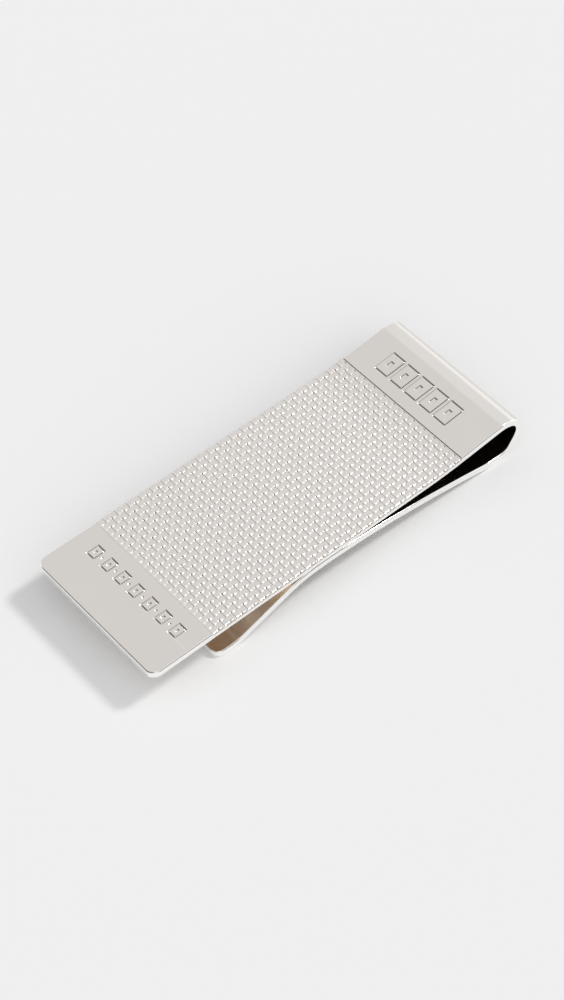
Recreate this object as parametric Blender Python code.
"""Money clip: a folded spring strip with a woven-pattern panel on its front leaf.

Units are metres, +Z is up. X runs from the open end (-X) to the fold (+X), Y runs across the strip.
The clip lies on its spring leaf. The origin is under the middle of the clip, on the surface it lies on.
"""

import math

import bmesh
import bpy
from mathutils import Matrix, Vector

# Driving dimensions of the strip
LENGTH = 0.0529             # from the plate's free end to the outside of the fold
WIDTH = 0.0195              # across the strip
STRIP = 0.0009              # thickness of the strip
SPREAD = 0.0033             # from the plate's underside down to the inside of the sole
CORNER_RADIUS = 0.0012      # corners of both ends, seen from above
EDGE_ROUND = 0.00012        # rounding along every edge

# The front plate, its two polished bands and the bed between them
END_BAND = 0.0081           # polished band at the free end
FOLD_BAND = 0.00925         # polished band at the fold, up to the outside of the fold
PANEL_THICKNESS = 0.00020   # woven-pattern panel
PANEL_RECESS = 0.00005      # panel's face below the polished bands
PANEL_GAP = 0.00015         # clearance under the panel and at its two ends
KICK_LEAD = 0.00515         # the plate starts to rise this far before the fold band
KICK_RUN = 0.0055           # length of the rising curve
KICK_ANGLE = math.radians(6)

# The fold, on its inner face
SHOULDER_RADIUS = 0.0032
SHOULDER_END = math.radians(-26)    # heading where the shoulder meets the nose
NOSE_RADIUS = 0.0015
NOSE_END = math.radians(-122)       # heading where the nose meets the straight shank
HEEL_RADIUS = 0.0012
SOLE_LENGTH = 0.0016                # flat that the clip lies on

# The spring leaf, on its inner face
TOE_RADIUS = 0.004
LEAF_RISE = math.radians(12)        # slope of the leaf where it leaves the sole
CONTACT_SETBACK = 0.0228            # from the plate's free end to the line where the leaf meets it
BOW_RADIUS = 0.013                  # of the bow at the contact line, on the lip's side
FLARE_ANGLE = math.radians(20)
CREASE_RADIUS = 0.004
LIP_SETBACK = 0.0084                # from the plate's free end to the lip's end

# Clearances between solids
CONTACT_GAP = 0.0003        # between the leaf's bow and the plate
SPLIT_GAP = 0.0003          # where the strip is divided at its two flexing lines

# Facets
ARC_STEP = math.radians(7)
LEAF_STEPS = 14
CORNER_SEGMENTS = 6
EDGE_SEGMENTS = 2
BEVEL_LIMIT = math.radians(35)
CUT_MARGIN = 0.001          # how far cutters reach past what they cut

NICKEL = (0.72, 0.69, 0.65, 1.0)
NICKEL_ROUGHNESS = 0.12
WOVEN_NICKEL = (0.66, 0.63, 0.60, 1.0)
WOVEN_ROUGHNESS = 0.32

# Heights and places that follow from the dimensions
SOLE_INSIDE = STRIP
PLATE_UNDERSIDE = SOLE_INSIDE + SPREAD
FREE_END = -LENGTH / 2
KICK_RADIUS = KICK_RUN / KICK_ANGLE
FREE_SEAM = FREE_END + END_BAND
FOLD_SEAM = LENGTH / 2 - FOLD_BAND
KICK_START = FOLD_SEAM - KICK_LEAD
KICK_END = KICK_START + KICK_RADIUS * math.sin(KICK_ANGLE)
PANEL_TOP = STRIP - PANEL_RECESS
PANEL_BOTTOM = PANEL_TOP - PANEL_THICKNESS
BED_FLOOR = PANEL_BOTTOM - PANEL_GAP


# --- the line of the strip's inner face: points are (x, z, heading) ---

def offset(point, distance):
    """The (x, z) place this far from the inner face, towards the strip's outside."""
    x, z, heading = point
    return x - distance * math.sin(heading), z + distance * math.cos(heading)


def go(path, length):
    """Extends the path straight ahead."""
    x, z, heading = path[-1]
    path.append((x + length * math.cos(heading), z + length * math.sin(heading), heading))


def turn(path, radius, new_heading):
    """Extends the path by an arc to a new heading; a smaller heading turns to the right."""
    x, z, heading = path[-1]
    side = 1 if new_heading > heading else -1
    centre_x = x - side * radius * math.sin(heading)
    centre_z = z + side * radius * math.cos(heading)
    steps = max(2, math.ceil(abs(new_heading - heading) / ARC_STEP))
    for i in range(1, steps + 1):
        angle = heading + (new_heading - heading) * i / steps
        path.append((centre_x + side * radius * math.sin(angle),
                     centre_z - side * radius * math.cos(angle), angle))


def plate_point(x):
    """The plate's underside at x: level, then a gentle arc, then a straight rise to the fold."""
    if x <= KICK_START:
        return x, PLATE_UNDERSIDE, 0.0
    if x <= KICK_END:
        angle = math.asin((x - KICK_START) / KICK_RADIUS)
        return x, PLATE_UNDERSIDE + KICK_RADIUS * (1 - math.cos(angle)), angle
    risen = KICK_RADIUS * (1 - math.cos(KICK_ANGLE))
    return x, PLATE_UNDERSIDE + risen + (x - KICK_END) * math.tan(KICK_ANGLE), KICK_ANGLE


def plate_path(start, end):
    """The plate's underside between two x places, with extra points along its arc."""
    steps = max(2, math.ceil(KICK_ANGLE / ARC_STEP)) * 2
    bends = [KICK_START + (KICK_END - KICK_START) * i / steps for i in range(steps + 1)]
    places = [start] + [x for x in bends if start < x < end] + [end]
    return [plate_point(x) for x in places]


def fold_path(start):
    """The inside of the fold, from its shoulder round to the end of the flat sole."""
    path = [start]
    turn(path, SHOULDER_RADIUS, SHOULDER_END)
    turn(path, NOSE_RADIUS, NOSE_END)
    heel_drop = HEEL_RADIUS * (1 + math.cos(NOSE_END))
    go(path, (path[-1][1] - heel_drop - SOLE_INSIDE) / -math.sin(NOSE_END))
    turn(path, HEEL_RADIUS, -math.pi)
    go(path, SOLE_LENGTH)
    return path


def fold_reach():
    """How far the outside of the fold stands beyond the shoulder."""
    shoulder = (0.0, PLATE_UNDERSIDE, KICK_ANGLE)
    return max(offset(point, STRIP)[0] for point in fold_path(shoulder))


def leaf_path(start):
    """The leaf's upper face, from the sole over the contact line to the lip's end."""
    path = [start]
    turn(path, TOE_RADIUS, -math.pi - LEAF_RISE)
    foot_x, foot_z, _ = path[-1]
    contact_x = FREE_END + CONTACT_SETBACK
    contact_z = PLATE_UNDERSIDE - CONTACT_GAP
    run = foot_x - contact_x
    rise = contact_z - foot_z
    slope = math.tan(LEAF_RISE)
    for i in range(1, LEAF_STEPS + 1):
        # A cubic, as an elastic strip bends: slope LEAF_RISE at the foot, level at the contact line
        t = i / LEAF_STEPS
        height = rise * (3 * t ** 2 - 2 * t ** 3) + slope * run * (t ** 3 - 2 * t ** 2 + t)
        gradient = rise * (6 * t - 6 * t ** 2) / run + slope * (3 * t ** 2 - 4 * t + 1)
        path.append((foot_x - run * t, foot_z + height, -math.pi - math.atan(gradient)))
    turn(path, BOW_RADIUS, -math.pi + FLARE_ANGLE)
    crease_drop = CREASE_RADIUS * (1 - math.cos(FLARE_ANGLE))
    go(path, (path[-1][1] - crease_drop - SOLE_INSIDE) / math.sin(FLARE_ANGLE))
    turn(path, CREASE_RADIUS, -math.pi)
    go(path, path[-1][0] - (FREE_END + LIP_SETBACK) + CUT_MARGIN)
    return path


# --- solids ---

def clear_scene():
    for obj in list(bpy.data.objects):
        bpy.data.objects.remove(obj, do_unlink=True)


def metal(name, colour, roughness):
    material = bpy.data.materials.new(name)
    material.use_nodes = True
    shader = material.node_tree.nodes["Principled BSDF"]
    shader.inputs["Base Color"].default_value = colour
    shader.inputs["Metallic"].default_value = 1.0
    shader.inputs["Roughness"].default_value = roughness
    material.diffuse_color = colour
    return material


def extruded(name, corners, step, material=None):
    """A solid made by extruding a closed outline of corners by the vector step."""
    bm = bmesh.new()
    face = bm.faces.new([bm.verts.new(corner) for corner in corners])
    result = bmesh.ops.extrude_face_region(bm, geom=[face])
    moved = [item for item in result["geom"] if isinstance(item, bmesh.types.BMVert)]
    bmesh.ops.translate(bm, vec=step, verts=moved)
    bmesh.ops.recalc_face_normals(bm, faces=bm.faces)
    mesh = bpy.data.meshes.new(name)
    bm.to_mesh(mesh)
    bm.free()
    obj = bpy.data.objects.new(name, mesh)
    bpy.context.collection.objects.link(obj)
    if material:
        mesh.materials.append(material)
    return obj


def strip_solid(name, path, low, high, width, material=None):
    """The layer of the strip between two depths from its inner face, along a path."""
    sides = [offset(point, low) for point in path] + [offset(point, high) for point in reversed(path)]
    corners = [(x, -width / 2, z) for x, z in sides]
    return extruded(name, corners, Vector((0, width, 0)), material)


def outline_solid(name, end_x, far_x):
    """The strip's outline seen from above, with its two corners at end_x rounded."""
    half = WIDTH / 2
    corners = [(far_x, -half, -CUT_MARGIN), (far_x, half, -CUT_MARGIN)]
    for side, first in ((1, math.pi / 2), (-1, math.pi)):
        for i in range(CORNER_SEGMENTS + 1):
            angle = first + math.pi / 2 * i / CORNER_SEGMENTS
            corners.append((end_x + CORNER_RADIUS + CORNER_RADIUS * math.cos(angle),
                            side * (half - CORNER_RADIUS) + CORNER_RADIUS * math.sin(angle), -CUT_MARGIN))
    return extruded(name, corners, Vector((0, 0, PLATE_UNDERSIDE + STRIP + SPREAD)))


def boolean(obj, cutter, operation):
    cutter.hide_render = True
    cutter.display_type = "WIRE"
    modifier = obj.modifiers.new(cutter.name, "BOOLEAN")
    modifier.operation = operation
    modifier.solver = "EXACT"
    modifier.object = cutter


def round_edges(obj):
    modifier = obj.modifiers.new("edge_round", "BEVEL")
    modifier.width = EDGE_ROUND
    modifier.segments = EDGE_SEGMENTS
    modifier.limit_method = "ANGLE"
    modifier.angle_limit = BEVEL_LIMIT
    obj.data.shade_smooth()
    obj.data.set_sharp_from_angle(angle=BEVEL_LIMIT)


def pivot_at(obj, x, z, parent=None):
    """Moves an object's origin to the flexing line at x, z, without moving its shape."""
    pivot = Vector((x, 0, z))
    obj.data.transform(Matrix.Translation(-pivot))
    obj.location = pivot
    if parent:
        obj.parent = parent
        obj.location = pivot - parent.location


def build():
    clear_scene()
    half_gap = SPLIT_GAP / 2
    wide = WIDTH + 2 * CUT_MARGIN
    shoulder_x = LENGTH / 2 - fold_reach()
    shoulder = plate_point(shoulder_x)
    fold = fold_path(shoulder)
    sole_x, sole_z, _ = fold[-1]

    # Front plate, trimmed to its outline, with the bed for the panel cut across it
    plate_end = shoulder_x - half_gap * math.cos(KICK_ANGLE)
    front = strip_solid("front_plate", plate_path(FREE_END - CUT_MARGIN, plate_end), 0, STRIP, wide,
                        metal("front_plate", NICKEL, NICKEL_ROUGHNESS))
    boolean(front, outline_solid("plate_outline", FREE_END, LENGTH / 2 + CUT_MARGIN), "INTERSECT")
    bed = strip_solid("panel_bed", plate_path(FREE_SEAM, FOLD_SEAM), BED_FLOOR, STRIP + CUT_MARGIN, wide)
    boolean(front, bed, "DIFFERENCE")
    round_edges(front)

    # Woven-pattern panel, laid in the bed
    panel_line = plate_path(FREE_SEAM + PANEL_GAP, FOLD_SEAM - PANEL_GAP)
    panel = strip_solid("weave_panel", panel_line, PANEL_BOTTOM, PANEL_TOP, WIDTH,
                        metal("weave_panel", WOVEN_NICKEL, WOVEN_ROUGHNESS))
    panel.data.shade_smooth()
    panel.data.set_sharp_from_angle(angle=BEVEL_LIMIT)

    # Fold: its line starts and ends half a gap inside the two flexing lines
    fold[0] = (shoulder[0] + half_gap * math.cos(KICK_ANGLE),
               shoulder[1] + half_gap * math.sin(KICK_ANGLE), KICK_ANGLE)
    fold[-1] = (sole_x + half_gap, sole_z, -math.pi)
    bend = strip_solid("fold_bend", fold, 0, STRIP, WIDTH, metal("fold_bend", NICKEL, NICKEL_ROUGHNESS))
    round_edges(bend)

    # Spring leaf, trimmed to its outline
    leaf_line = leaf_path((sole_x, sole_z, -math.pi))
    leaf_line[0] = (sole_x - half_gap, sole_z, -math.pi)
    leaf = strip_solid("spring_leaf", leaf_line, 0, STRIP, wide,
                       metal("spring_leaf", NICKEL, NICKEL_ROUGHNESS))
    lip_end = FREE_END + LIP_SETBACK
    boolean(leaf, outline_solid("leaf_outline", lip_end, LENGTH / 2 + CUT_MARGIN), "INTERSECT")
    round_edges(leaf)

    # Flexing lines, at the middle of the strip's thickness: the leaf stays, the fold and plate open
    shoulder_mid = offset(shoulder, STRIP / 2)
    pivot_at(bend, sole_x, sole_z - STRIP / 2)
    pivot_at(front, *shoulder_mid, bend)
    pivot_at(panel, *shoulder_mid, bend)


build()
